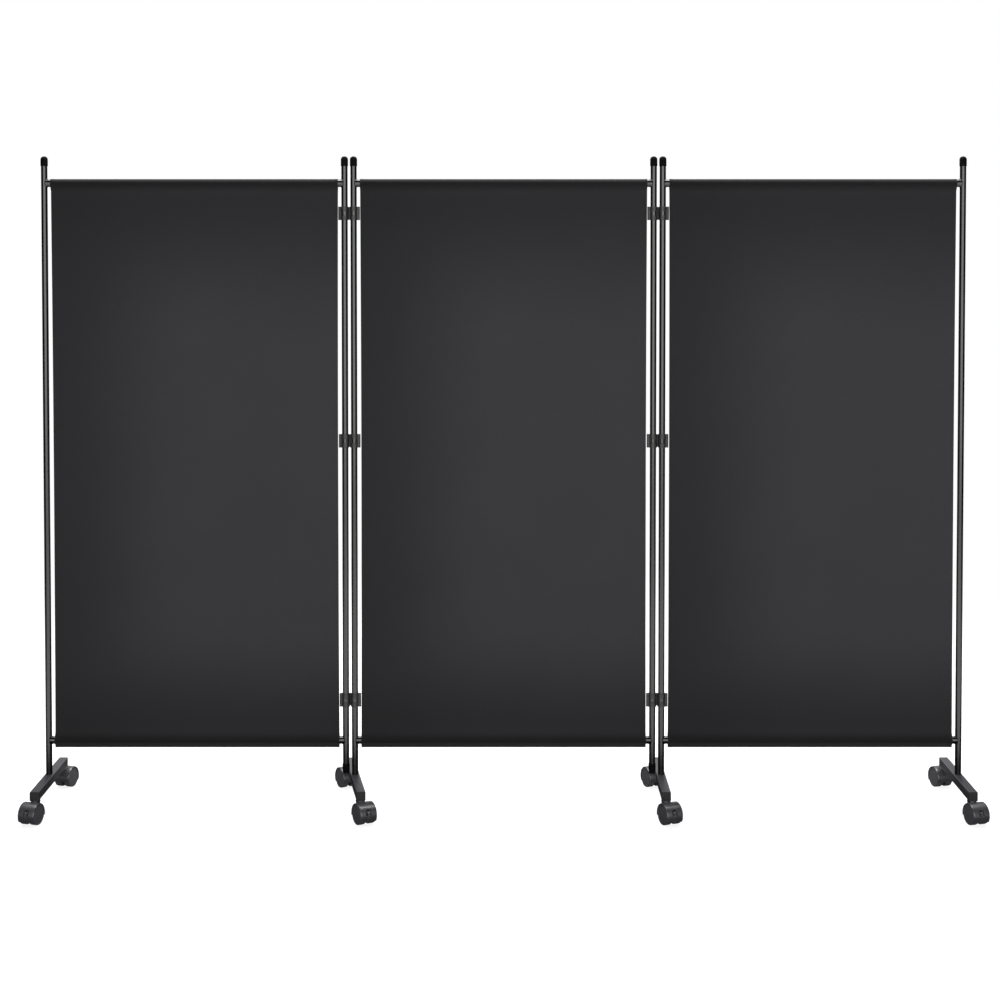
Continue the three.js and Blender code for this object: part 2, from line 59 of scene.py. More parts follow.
PANELS = ("left_panel", "middle_panel", "right_panel")
SIDES = {"left": -1, "right": 1}
ENDS = {"front": -1, "rear": 1}
LEVELS = ("top", "bottom")
CLIP_PLACES = ("top", "middle", "bottom")
JOINTS = {joint["name"]: joint for joint in frame["joints"]}
FEET = {
    "left_outer": "left_panel",
    "left_inner": "middle_panel",
    "right_inner": "right_panel",
    "right_outer": "right_panel",
}
FOOTLESS_POSTS = ("left_panel_right_post", "middle_panel_right_post")
MM = 0.001
# Room between a post and what is pushed or snapped onto it
POST_ROOM = 0.06 * MM
# Lays what stands upright along X
ALONG_X = Matrix.Rotation(pi / 2, 4, "Y")
HALF_TURN = Matrix.Rotation(pi, 4, "Z")


def linear(colour):
    """An sRGB colour such as "#202022" as linear red, green and blue"""
    parts = [int(colour[at : at + 2], 16) / 255 for at in (1, 3, 5)]
    return tuple(c / 12.92 if c <= 0.04045 else ((c + 0.055) / 1.055) ** 2.4 for c in parts)


def length(name, millimetres, description, lowest=0.0):
    """A size, given in millimetres and shown in the scene's own unit"""
    shown = {"unit": "LENGTH", "subtype": "DISTANCE", "precision": 5, "min": lowest}
    return bpy.props.FloatProperty(name=name, default=millimetres * MM, description=description, **shown)


def angle(name, degrees, description):
    """An angle, given in degrees"""
    turn = radians(degrees)
    return bpy.props.FloatProperty(name=name, default=turn, description=description, subtype="ANGLE")


def paint(name, colour, description):
    """A colour of a finish, given as sRGB"""
    shown = {"subtype": "COLOR", "size": 3, "min": 0.0, "max": 1.0}
    return bpy.props.FloatVectorProperty(name=name, default=linear(colour), description=description, **shown)


# Sizes and colours that a user would change
class ScreenTubes(bpy.types.PropertyGroup):
    post_radius: length("Post radius", 8.75, "Outer radius of the upright tubes")
    rail_radius: length("Rail radius", 10.5, "Outer radius of the horizontal tubes")
    wall: length("Tube wall", 1.2, "Wall thickness of posts and rails")
    weld: length("Weld bead", 1.2, "Radius of the bead where a rail meets a post")
    rail_lap: length("Rail lap", 4, "From a post's axis to the tips of the coped rail end")
    sides: bpy.props.IntProperty(name="Sides", default=48, min=16, max=96, description="Sides of a tube")
    colour: paint("Powder coat", "#0b0b0c", "Colour of the powder coat on posts and rails")


class ScreenCaps(bpy.types.PropertyGroup):
    radius: length("Cap radius", 10, "Outer radius of the post caps")
    height: length("Cap height", 27, "Height of the post caps")
    dome: length("Dome height", 9.5, "Height of the domed part")
    colour: paint("Cap plastic", "#060607", "Colour of the post caps")


class ScreenCloth(bpy.types.PropertyGroup):
    thickness: length("Cloth thickness", 0.7, "Thickness of one layer of cloth")
    thread: length("Thread spacing", 1.1, "Distance between threads as drawn")
    hem: length("Side hem", 8, "Width of the folded hem at each free side")
    stitch: length("Stitch length", 3, "Length of one stitch and the gap after it")
    pocket_seam: length("Pocket seam", 22, "From a rail's middle to the seam of its pocket")
    hem_seam: length("Lower seam", 15, "From the bottom rail's middle to the seam below it")
    allowance: length("Seam allowance", 8, "How far the folded end runs past its seam")
    draw_in: length("Side draw-in", 1.6, "How far the free sides are drawn in at mid-height")
    ripple: length("Ripple", 0.5, "Height of the tension ripples near the rails")
    # Tone of the painted shade towards the pockets and the left side of each cloth, of 1 elsewhere
    painted_edge_shade: bpy.props.FloatProperty(
        name="Closed weave", default=0.5, min=0.0, max=1.0, description="Tone of close weave, of 1 elsewhere"
    )
    single: paint("Cloth", "#343437", "Colour of a single layer of cloth")
    # Painted shade: the cloth over a rail is drawn darker, for the light that comes through from behind
    # elsewhere
    shaded_over_rail: paint("Cloth over a rail", "#1c1c1e", "Colour where the cloth lies on a rail")


class ScreenClips(bpy.types.PropertyGroup):
    radius: length("Ring radius", 11.05, "Outer radius of a clip's rings")
    window_height: length("Window height", 12, "Height of the window in each ring")
    window_half: angle("Window half angle", 43, "Half the angle a window spans")
    lip_reach: length("Lip reach", 6, "How far the split lips stand out past a ring")
    lip: length("Lip thickness", 2.4, "Thickness of each split lip")
    split: length("Split", 1.3, "Width of the split between two lips")
    gusset: length("Lip gusset", 2, "How much thicker each lip is where it leaves its ring")
    web: length("Web thickness", 3, "Thickness of the web between two rings")
    web_width: length("Web width", 11.2, "Width of the web, with its ends inside the walls of the rings")
    web_set: length("Web set", 7, "How far the web lies behind the middle of the rings")
    colour: paint("Clip plastic", "#1e1e1d", "Colour of the hinge clips")


class ScreenFeet(bpy.types.PropertyGroup):
    bar: length("Bar size", 25, "Width and height of the square foot bars")
    tube: length("Bar tube", 325, "Length of the square tube")
    tip: length("Plug tip", 165, "From the middle of a foot to the face of a plug")
    corner: length("Bar corner", 2.5, "Corner radius of the foot bars")
    wall: length("Bar wall", 1.5, "Wall thickness of the foot bars")
    # The bars' coat is the tubes' black coat painted lighter grey: painted light for the sheen on the bars
    coat: paint("Bar coat", "#3d3d40", "Colour of the flatter powder coat on the foot bars")
    plug_face: length("Plug face", 2.3, "Thickness of a plug outside its bar")
    plug_margin: length("Plug margin", 3.8, "Width of the raised rim on a plug's face")
    plug_recess: length("Plug recess", 1, "Depth of the recess in a plug's face")
    colour: paint("Plug plastic", "#1c1c1e", "Colour of the bar plugs")


class ScreenCasters(bpy.types.PropertyGroup):
    wheel_radius: length("Wheel radius", 27, "Radius of the wheels")
    width: length("Caster width", 48, "Width over both wheels")
    gap: length("Wheel gap", 10, "Distance between the inner faces of the two wheels")
    hood_radius: length("Hood radius", 31, "Outer radius of the hood at its sides")
    hood_crown: length("Hood crown", 0.3, "How much fuller the hood is at its middle")
    hood_bore: length("Hood bore", 28.2, "Inner radius of the hood")
    web: length("Web", 9, "Thickness of the web between the wheels")
    hood_start: angle("Hood start", -30, "Lower front edge of the hood")
    hood_end: angle("Hood end", 195, "Lower rear edge of the hood")
    slot_foot: angle("Slot foot", -20, "Lower end of the lever's slot")
    slot_head: angle("Slot head", 37.5, "Upper end of the lever's slot")
    slot_width: length("Slot width", 15, "Width of the lever's slot in the hood")
    tab_width: length("Tab width", 17, "Width of the brake lever's tab")
    tab_reach: length("Tab reach", 34, "From the axle to the outer face of the tab")
    boss_top: length("Boss top", 58.1, "Height of the swivel boss, which carries the stem's collar")
    collar: length("Collar", 1.6, "Thickness of the collar on the stem")
    hood_colour: paint("Hood nylon", "#37373a", "Colour of the caster hoods")
    wheel_colour: paint("Wheel nylon", "#48484b", "Colour of the wheels")
    lever_colour: paint("Lever nylon", "#37373a", "Colour of the brake levers")


class ScreenStage(bpy.types.PropertyGroup):
    distance: length("Camera distance", 5000, "From the panels to the camera")
    height: length("Camera height", 1575, "Height of the camera above the floor")
    offset: length("Camera offset", -10, "How far right of the middle the camera stands", lowest=-1.0)
    pitch: angle("Camera pitch", 1.925, "How far the camera looks down")
    lens: bpy.props.FloatProperty(name="Lens", default=65.2, description="Focal length in millimetres")
    shift: bpy.props.FloatProperty(name="Lens shift", default=-0.2, description="Lens shift, of its width")


GROUPS = {
    "screen_tubes": ScreenTubes,
    "screen_caps": ScreenCaps,
    "screen_cloth": ScreenCloth,
    "screen_clips": ScreenClips,
    "screen_feet": ScreenFeet,
    "screen_casters": ScreenCasters,
    "screen_stage": ScreenStage,
}


# Materials
def feed(tree, node, inputs):
    """Gives inputs of a node their values, or links them to the sockets that feed them"""
    for name, value in inputs.items():
        if isinstance(value, bpy.types.NodeSocket):
            tree.links.new(value, node.inputs[name])
        else:
            node.inputs[name].default_value = value


def add_node(tree, kind, inputs=(), **settings):
    """Adds a shader node, with its inputs by name or in their order, and gives its outputs"""
    made = tree.nodes.new(f"ShaderNode{kind}")
    for name, value in settings.items():
        setattr(made, name, value)
    feed(tree, made, inputs if isinstance(inputs, dict) else dict(enumerate(inputs)))
    return made.outputs


def new_material(name):
    """A new node material, with its tree and its shader"""
    material = bpy.data.materials.new(name)
    material.use_nodes = True
    return material, material.node_tree, material.node_tree.nodes["Principled BSDF"]


def shade(colour, factor=1.0):
    """A colour made darker or lighter, with its alpha"""
    return (*(min(1.0, part * factor) for part in colour), 1.0)


def grained(name, colour, roughness, gloss_level, grain, blotch, tones, unevenness, relief, refraction):
    """A finish with a fine grain in its relief and gloss, and slow blotches in its tone"""
    material, tree, shader = new_material(name)
    at = add_node(tree, "TexCoord")["Object"]
    fine, slow = (
        add_node(tree, "TexNoise", {"Vector": at, "Scale": 1 / size, "Detail": detail})["Fac"]
        for size, detail in (grain, blotch)
    )
    tone = {"Factor": slow, 6: shade(colour, tones[0]), 7: shade(colour, tones[1])}
    gloss = {"Value": fine, "To Min": roughness - unevenness, "To Max": roughness + unevenness}
    bump = {"Height": fine, "Strength": relief[0], "Distance": relief[1]}
    look = {
        "Base Color": add_node(tree, "Mix", tone, data_type="RGBA")[2],
        "Roughness": add_node(tree, "MapRange", gloss)["Result"],
        "Normal": add_node(tree, "Bump", bump)["Normal"],
        "IOR": refraction,
        "Specular IOR Level": gloss_level,
    }
    feed(tree, shader, look)
    return material


def powder_coat(name, colour, roughness, gloss_level):
    # Epoxy-polyester powder melted onto steel tube: a black skin with a fine orange peel that
    # breaks up the edges of each long highlight. It is semi-gloss on the round tubes and flatter on the
    # square foot bars, where the same black coat is painted a lighter grey: painted light for the sheen
    # on the bars' faces. The blotches are the slow drift in the film's thickness.
    peel = {"grain": (1.6 * MM, 2.0), "blotch": (90 * MM, 3.0), "relief": (0.25, 0.03 * MM)}
    coat = {"tones": (0.85, 1.15), "unevenness": 0.04, "refraction": 1.5}
    return grained(name, colour, roughness, gloss_level, **peel, **coat)


def moulded_plastic(name, colour, roughness, gloss_level, spark=0.6 * MM, depth=0.02 * MM):
    # Injection-moulded polymer: the tool's fine spark texture scatters the light, and slow
    # colour drift from the melt keeps it from looking painted.
    texture = {"grain": (spark, 3.0), "blotch": (14 * MM, 2.0), "relief": (0.3, depth)}
    melt = {"tones": (0.82, 1.2), "unevenness": 0.05, "refraction": 1.49}
    return grained(name, colour, roughness, gloss_level, **texture, **melt)


def zinc_plate():
    # Zinc-plated steel, tumbled and passivated: dull grey metal with a faint cloudy bloom
    material, tree, shader = new_material("zinc_plated_steel")
    at = add_node(tree, "TexCoord")["Object"]
    bloom = add_node(tree, "TexNoise", {"Vector": at, "Scale": 1 / (4 * MM), "Detail": 4.0})["Fac"]
    tone = {"Factor": bloom, 6: shade(linear("#8a8c90")), 7: shade(linear("#a6a8ab"))}
    look = {
        "Base Color": add_node(tree, "Mix", tone, data_type="RGBA")[2],
        "Roughness": add_node(tree, "MapRange", {"Value": bloom, "To Min": 0.28, "To Max": 0.45})["Result"],
        "Metallic": 1.0,
    }
    feed(tree, shader, look)
    return material


def woven_cloth(settings, seams, half_width):
    # Plain-woven polyester, stretched and hemmed: matt, with slightly darker painted shade in the hollows
    # of the weave, and darker painted shade again on the rails, which stands in for the light that comes
    # through from behind elsewhere. It also has painted shade towards its pockets and its left side.
    material, tree, shader = new_material("plain_woven_polyester")
    add = partial(add_node, tree)

    def gap_to(line, coordinate):
        past = add("Math", (coordinate, line), operation="SUBTRACT")[0]
        return add("Math", (past,), operation="ABSOLUTE")[0]

    # The real threads lie about 0.5 mm apart. They are drawn further apart so that they show.
    def threads(coordinate):
        turn = add("Math", (coordinate, pi / settings.thread), operation="MULTIPLY")[0]
        wave = add("Math", (turn,), operation="SINE")[0]
        return add("Math", (wave,), operation="ABSOLUTE")[0]

    weave = add("UVMap", uv_map="cloth")["UV"]
    split = add("SeparateXYZ", (weave,))
    across, along = split["X"], split["Y"]
    checks = add("TexChecker", {"Vector": weave, "Scale": 1 / settings.thread})["Fac"]
    rest = add("Math", (1.0, checks), operation="SUBTRACT")[0]
    weft = add("Math", (threads(along), checks), operation="MULTIPLY")[0]
    warp = add("Math", (threads(across), rest), operation="MULTIPLY")[0]
    height = add("Math", (weft, warp), operation="ADD")[0]

    # Each stitch is a dash of thread and a gap, along the seams and the middles of the side hems
    thread_half, dash_share, pucker_half = 0.45 * MM, 0.68, 1.2 * MM
    seam_gap = gap_to(seams[0], along)
    for seam in seams[1:]:
        seam_gap = add("Math", (seam_gap, gap_to(seam, along)), operation="MINIMUM")[0]
    from_middle = add("Math", (across,), operation="ABSOLUTE")[0]
    hem_gap = gap_to(half_width - settings.hem * 0.8, from_middle)

    def stitched(gap, run):
        count = add("Math", (run, 1 / settings.stitch), operation="MULTIPLY")[0]
        dash = add("Math", (count,), operation="FRACT")[0]
        on_line = add("Math", (gap, thread_half), operation="LESS_THAN")[0]
        on_dash = add("Math", (dash, dash_share), operation="LESS_THAN")[0]
        return add("Math", (on_line, on_dash), operation="MULTIPLY")[0]

    both = (stitched(seam_gap, across), stitched(hem_gap, along))
    stitches = add("Math", both, operation="MAXIMUM")[0]
    nearest = add("Math", (seam_gap, hem_gap), operation="MINIMUM")[0]
    pucker = add("Math", (nearest, pucker_half), operation="LESS_THAN")[0]

    # Tone: painted shade in the hollows of the weave and painted light on its crowns, then slubs in the yarn
    # and slow clouds
    tone = add("MapRange", {"Value": height, "To Min": 0.62, "To Max": 1.12})["Result"]
    for size, detail in ((6 * MM, 4.0), (260 * MM, 3.0)):
        blotches = add("TexNoise", {"Vector": weave, "Scale": 1 / size, "Detail": detail})["Fac"]
        share = add("MapRange", {"Value": blotches, "To Min": 0.9, "To Max": 1.1})["Result"]
        tone = add("Math", (tone, share), operation="MULTIPLY")[0]
    # A stitch is lighter and stands out, and the pucker beside it sinks in, with painted shade in it
    relief = height
    for mark, lighter, higher in ((stitches, 0.2, 2.2), (pucker, -0.08, -1.4)):
        tone = add("Math", (mark, lighter, tone), operation="MULTIPLY_ADD")[0]
        relief = add("Math", (mark, higher, relief), operation="MULTIPLY_ADD")[0]

    # Painted shade: darker below the upper pocket, above the lower one and towards the left side
    darkest_shade, below_head, above_foot = settings.painted_edge_shade, 0.42, 0.3
    head, foot, smooth = seams[1], seams[2], {"interpolation_type": "SMOOTHSTEP"}
    from_head = add("MapRange", (along, head, head + below_head, darkest_shade, 1.0), **smooth)["Result"]
    from_foot = add("MapRange", (along, foot - above_foot, foot, 1.0, darkest_shade), **smooth)["Result"]
    from_left = add("MapRange", (across, -half_width, 0.0, 1.0 - darkest_shade, 0.0), **smooth)["Result"]
    upright = add("Math", (from_head, from_foot), operation="MULTIPLY")[0]
    lost = add("Math", (from_left, upright), operation="MULTIPLY")[0]
    sideways = add("Math", (1.0, lost), operation="SUBTRACT")[0]
    for share in (upright, sideways):
        tone = add("Math", (tone, share), operation="MULTIPLY")[0]
    # Painted shade where the cloth lies on a rail, for the backlight that can't come through there
    on_rail = add("Attribute", attribute_name="on_rail")["Fac"]
    painted_rail_shade = {"Factor": on_rail, 6: shade(settings.single), 7: shade(settings.shaded_over_rail)}
    toned = {"Factor": 1.0, 6: add("Mix", painted_rail_shade, data_type="RGBA")[2], 7: tone}
    bump = {"Height": relief, "Strength": 0.6, "Distance": 0.12 * MM}
    look = {
        "Base Color": add("Mix", toned, data_type="RGBA", blend_type="MULTIPLY")[2],
        "Normal": add("Bump", bump)["Normal"],
        "Roughness": 0.92,
        "Specular IOR Level": 0.2,
        "Sheen Weight": 0.12,
        "Sheen Roughness": 0.45,
    }
    feed(tree, shader, look)
    return material


# Shapes
def near(corner, *points):
    """Outline points, each given in millimetres from a corner"""
    return [(corner[0] + x * MM, corner[1] + y * MM) for x, y in points]


def outward(mesh):
    """Turns the faces of a shape to look out of it"""
    bmesh.ops.recalc_face_normals(mesh, faces=mesh.faces)
    return mesh


def lathe(outline, steps, closed=False):
    """A shape turned round the upright axis from its (radius, height) outline"""
    mesh = bmesh.new()
    points = [mesh.verts.new((radius, 0.0, height)) for radius, height in outline]
    pairs = list(zip(points, points[1:])) + ([(points[-1], points[0])] if closed else [])
    geometry = points + [mesh.edges.new(pair) for pair in pairs]
    turn = {"cent": (0, 0, 0), "axis": (0, 0, 1), "angle": tau}
    bmesh.ops.spin(mesh, geom=geometry, steps=steps, use_merge=True, **turn)
    bmesh.ops.remove_doubles(mesh, verts=mesh.verts, dist=1e-6)
    return outward(mesh)


def round_axle(outline, start, end, steps):
    """A band turned part of the way round the X axis from its closed (x, radius) outline"""
    mesh = bmesh.new()
    points = [mesh.verts.new((x, -radius, 0.0)) for x, radius in outline]
    edges = [mesh.edges.new(pair) for pair in zip(points, points[1:] + points[:1])]
    bmesh.ops.rotate(mesh, verts=points, cent=(0, 0, 0), matrix=Matrix.Rotation(-start, 3, "X"))
    turn = {"cent": (0, 0, 0), "axis": (1, 0, 0), "angle": start - end}
    bmesh.ops.spin(mesh, geom=points + edges, steps=steps, **turn)
    bmesh.ops.holes_fill(mesh, edges=mesh.edges, sides=0)
    return outward(mesh)


def rod(radius, half, steps):
    """A round rod along X"""
    return place(lathe([(0, -half), (radius, -half), (radius, half), (0, half)], steps), ALONG_X)


def block(x, y, z, centre=(0, 0, 0)):
    """A box with its size and centre"""
    mesh = bmesh.new()
    bmesh.ops.create_cube(mesh, size=1.0)
    bmesh.ops.scale(mesh, vec=(x, y, z), verts=mesh.verts)
    bmesh.ops.translate(mesh, vec=centre, verts=mesh.verts)
    return mesh


def round_edges(mesh, offset, segments, chosen=lambda edge: True):
    """Rounds the chosen edges of a shape"""
    edges = [edge for edge in mesh.edges if chosen(edge)]
    kind = {"offset_type": "OFFSET", "affect": "EDGES", "profile": 0.5, "material": -1}
    bmesh.ops.bevel(mesh, geom=edges, offset=offset, segments=segments, clamp_overlap=True, **kind)
    return mesh


def place(mesh, matrix):
    """Moves a shape by a matrix"""
    bmesh.ops.transform(mesh, matrix=matrix, verts=mesh.verts)
    return mesh


def together(first, *others):
    """Gathers several shapes in one mesh"""
    for other in others:
        carrier = bpy.data.meshes.new("carrier")
        other.to_mesh(carrier)
        other.free()
        first.from_mesh(carrier)
        bpy.data.meshes.remove(carrier)
    return first


def make_object(name, mesh, material):
    """Makes a shape into an object of the scene"""
    data = bpy.data.meshes.new(name)
    mesh.to_mesh(data)
    mesh.free()
    data.materials.append(material)
    made = bpy.data.objects.new(name, data)
    bpy.context.scene.collection.objects.link(made)
    return made


def piece(name, mesh, material, body, nodes=(), slot=None, crease=40, rounding=0.0, even=False):
    """Makes a shape into a piece of the screen that rides on a body"""
    limit = radians(crease)
    for face in mesh.faces:
        face.smooth = True
    for edge in mesh.edges:
        edge.smooth = not (len(edge.link_faces) == 2 and edge.calc_face_angle(0) > limit)
    made = make_object(name, mesh, material)
    if rounding:
        bevel = made.modifiers.new("Rounded edges", "BEVEL")
        bevel.width, bevel.segments, bevel.limit_method = rounding, 2, "ANGLE"
        bevel.angle_limit = radians(50)
    if rounding or even:
        normals = made.modifiers.new("Even shading", "WEIGHTED_NORMAL")
        normals.keep_sharp = True
    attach(made, body)
    if nodes:
        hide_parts(*nodes)
    return made


def middle(node):
    """The centre of a CAD node"""
    low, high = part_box(node)
    return (low + high) / 2


# Posts, rails and the weld beads between them
def make_post(node, panel, coat, sizes):
    """One upright tube, with its ends broken by a small chamfer"""
    at, (foot, head) = middle(node), (corner.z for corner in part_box(node))
    radius, bore, chamfer = sizes.post_radius, sizes.post_radius - sizes.wall, 0.3 * MM
    outline = [(bore, foot), (radius - chamfer, foot), (radius, foot + chamfer)]
    outline += [(radius, head - chamfer), (radius - chamfer, head), (bore, head)]
    tube = lathe(outline, sizes.sides, closed=True)
    place(tube, Matrix.Translation((at.x, at.y, 0)))
    piece(f"{node}_tube", tube, coat, panel, [node], "powder_coat")


def make_rail(node, panel, coat, sizes):
    """One rail with coped ends, and the bead that welds each end to its post"""
    at = middle(node)
    half_span = abs(middle(f"{panel}_right_post").x - at.x)
    fit = 0.05 * MM
    reach_round = sizes.post_radius + fit

    def cope(y):
        """How far from the post's axis the rail ends, at this distance from its middle plane"""
        return max(sizes.rail_lap, sqrt(max(0.0, reach_round**2 - y**2)))

    end = half_span - sizes.rail_lap
    outer, bore = sizes.rail_radius, sizes.rail_radius - sizes.wall
    outline = [(bore, -end), (outer, -end), (outer, end), (bore, end)]
    tube = place(lathe(outline, sizes.sides, closed=True), ALONG_X)
    for vert in tube.verts:
        vert.co.x = copysign(half_span - cope(vert.co.y), vert.co.x)
    place(tube, Matrix.Translation(at))
    piece(f"{node}_tube", tube, coat, panel, [node], "powder_coat")
    # The bead rises and falls a little with each pulse of the torch, about 2 mm apart
    pulse, pulses, steps, sink = 0.12 * MM, 28, 10, 0.3 * MM
    turns = [tau * step / steps for step in range(steps)]
    ring = [(outer + sizes.weld * cos(turn), sizes.weld * sin(turn)) for turn in turns]
    for side, sign in SIDES.items():
        bead = place(lathe(ring, sizes.sides, closed=True), ALONG_X)
        for vert in bead.verts:
            wave = pulse * sin(pulses * atan2(vert.co.z, vert.co.y))
            vert.co.x = sign * (half_span - cope(vert.co.y) - sink) + vert.co.x + wave
        place(bead, Matrix.Translation(at))
        piece(f"{node}_{side}_weld", bead, coat, panel, (), "powder_coat")


class SCREEN_OT_tubes(bpy.types.Operator):
    """Makes the posts and rails of the three panels and the weld beads between them"""

    bl_idname = "screen.tubes"
    bl_label = "Tubes"

    def execute(self, context):
        sizes = context.scene.screen_tubes
        coat = powder_coat("black_powder_coat_on_round_tube", sizes.colour, roughness=0.2, gloss_level=0.5)
        for panel in PANELS:
            for side in SIDES:
                make_post(f"{panel}_{side}_post", panel, coat, sizes)
            for level in LEVELS:
                make_rail(f"{panel}_{level}_rail", panel, coat, sizes)
        return {"FINISHED"}


def make_cap(sizes, bore):
    """A straight-sided cup with a tall domed roof"""
    radius, height, dome = sizes.radius, sizes.height, sizes.dome
    thick_roof, lead, fullness, steps = 4 * MM, 0.3 * MM, 0.9, 14
    roof = height - thick_roof
    outline = [(0, roof), (bore, roof), (bore, lead), (bore + lead, 0)]
    outline += [(radius - lead, 0), (radius, 0.4 * MM)]
    for step in range(steps):
        turn = step / steps * pi / 2
        outline.append((radius * cos(turn) ** fullness, height - dome + dome * sin(turn)))
    return lathe(outline + [(0, height)], 48)


class SCREEN_OT_post_caps(bpy.types.Operator):
    """Makes the domed caps on the tops of the posts and under the two posts without a foot"""

    bl_idname = "screen.post_caps"
    bl_label = "Post caps"

    def execute(self, context):
        sizes = context.scene.screen_caps
        bore = context.scene.screen_tubes.post_radius + POST_ROOM
        finish = {"roughness": 0.7, "gloss_level": 0.05, "spark": 0.5 * MM}
        plastic = moulded_plastic("moulded_polyethylene_cap", sizes.colour, **finish)
        for panel in PANELS:
            for side in SIDES:
                post = f"{panel}_{side}_post"
                at, top = middle(post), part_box(f"{post}_cap")[1].z
                upper = place(make_cap(sizes, bore), Matrix.Translation((at.x, at.y, top - sizes.height)))
                piece(f"{post}_top_cap", upper, plastic, panel, [f"{post}_cap"], "cap_plastic", even=True)
                if post in FOOTLESS_POSTS:
                    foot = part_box(post)[0].z
                    lower = place(make_cap(sizes, bore), Matrix.Rotation(pi, 4, "X"))
                    place(lower, Matrix.Translation((at.x, at.y, foot + sizes.height)))
                    piece(f"{post}_bottom_cap", lower, plastic, panel, (), "cap_plastic", even=True)
        return {"FINISHED"}


def run_of_cloth(settings, radius, top, bottom, edge):
    """The cloth's path down one panel as (y, z, on a rail) with its lengths, and its seams' places"""
    layer = settings.thickness * 1.1
    seam_turn = acos(radius / settings.pocket_seam)
    hem_turn = acos(radius / settings.hem_seam)
    head, foot = top - settings.pocket_seam, bottom + settings.pocket_seam
    hem_line, fold, partly = bottom - settings.hem_seam, edge + 0.5 * MM, 0.2
    rows, steps_round, steps_half = 60, 22, 8
    quarter = pi / 2
    path = [(layer, head - settings.allowance, 0.0), (layer, head, 0.0)]
    marks = [1]

    def arc(centre, start, sweep, steps):
        for step in range(steps + 1):
            turn = start + step / steps * sweep
            path.append((radius * cos(turn), centre + radius * sin(turn), 1.0))

    def seam(*point):
        marks.append(len(path))
        path.append(point)

    arc(top, seam_turn - quarter, tau - 2 * seam_turn, steps_round)
    seam(0.0, head, 0.0)
    for row in range(1, rows):
        path.append((0.0, head + (foot - head) * (row / rows), 0.0))
    seam(0.0, foot, 0.0)
    arc(bottom, quarter + seam_turn, pi - seam_turn - hem_turn, steps_half)
    seam(-layer / 2, hem_line, partly)
    path += [(-layer / 2, fold, partly), (0.0, edge, partly), (layer / 2, fold, partly)]
    seam(layer / 2, hem_line, partly)
    arc(bottom, hem_turn - quarter, pi - seam_turn - hem_turn, steps_half)
    seam(layer, foot, 0.0)
    path.append((layer, foot + settings.allowance, 0.0))
    lengths = [0.0]
    for (y0, z0, _), (y1, z1, _) in zip(path, path[1:]):
        lengths.append(lengths[-1] + hypot(y1 - y0, z1 - z0))
    return list(zip(path, lengths)), [lengths[at] for at in marks]


def sweep_cloth(settings, run, half, centre, heights):
    """The cloth as one layer, swept from its left side to its right"""
    mesh = bmesh.new()
    along, on_rail, hem = (mesh.verts.layers.float.new(name) for name in ("along", "on_rail", "side_hem"))
    points = []
    for (y, z, over), distance in run:
        point = mesh.verts.new((centre - half, y, z))
        point[along], point[on_rail] = distance, over
        points.append(point)
    geometry = points + [mesh.edges.new(pair) for pair in zip(points, points[1:])]
    edge, columns = 1 * MM, 66
    sides = [(3, settings.hem), (1, edge)]
    for count, width in (*sides, (columns, 2 * (half - settings.hem - edge)), *reversed(sides)):
        sweep = {"cent": (0, 0, 0), "axis": (0, 0, 1), "angle": 0.0, "dvec": (width / count, 0, 0)}
        geometry = bmesh.ops.spin(mesh, geom=geometry, steps=count, **sweep)["geom_last"]
    bmesh.ops.remove_doubles(mesh, verts=mesh.verts, dist=1e-6)
    outward(mesh)
    map_of_cloth = mesh.loops.layers.uv.new("cloth")
    for face in mesh.faces:
        for loop in face.loops:
            loop[map_of_cloth].uv = (loop.vert.co.x - centre, loop.vert[along])
    for vert in mesh.verts:
        x, z = vert.co.x - centre, vert.co.z
        vert[hem] = float(abs(x) > half - settings.hem - edge / 2)
        inwards, forwards = tension(settings, x, z, half, heights)
        vert.co.x -= inwards
        vert.co.y += forwards
    return mesh


def tension(settings, x, z, half, heights):
    """How far pulling tight between the rails draws the sides in, and the ripples below the pockets"""
    top, bottom = heights
    free_over, fades_over = 40 * MM, 140 * MM
    long_wave, short_wave, slow_wave = 83 * MM, 37 * MM, 530 * MM
    share = min(1.0, max(0.0, (z - bottom) / (top - bottom)))
    inwards = settings.draw_in * 4 * share * (1 - share) * copysign((abs(x) / half) ** 6, x)
    past_seam = min(abs(z - top), abs(z - bottom)) - settings.pocket_seam
    free = min(1.0, max(0.0, past_seam / free_over))
    fade = exp(-max(0.0, past_seam) / fades_over)
    wave = sin(x * tau / long_wave + 1.3) + 0.6 * sin(x * tau / short_wave + z * 9)
    slow = sin(x * tau / slow_wave + 0.7) * sin(pi * share)
    return inwards, settings.ripple * (wave * fade * free + 1.6 * slow)


def thicken(name, sheet, material, settings, panel):
    """Gives the cloth its thickness, nearly double at the side hems"""
    made = piece(name, sheet, material, panel, [name.replace("_cloth", "_fabric")], "fabric", crease=70)
    hemmed = [at for at, mark in enumerate(made.data.attributes["side_hem"].data) if mark.value > 0.5]
    made.vertex_groups.new(name="hems").add(hemmed, 1.0, "REPLACE")
    thick, double = made.modifiers.new("Cloth thickness", "SOLIDIFY"), 1.7
    thick.thickness, thick.offset = settings.thickness * double, 0.0
    thick.vertex_group, thick.thickness_vertex_group = "hems", 1 / double
    return made


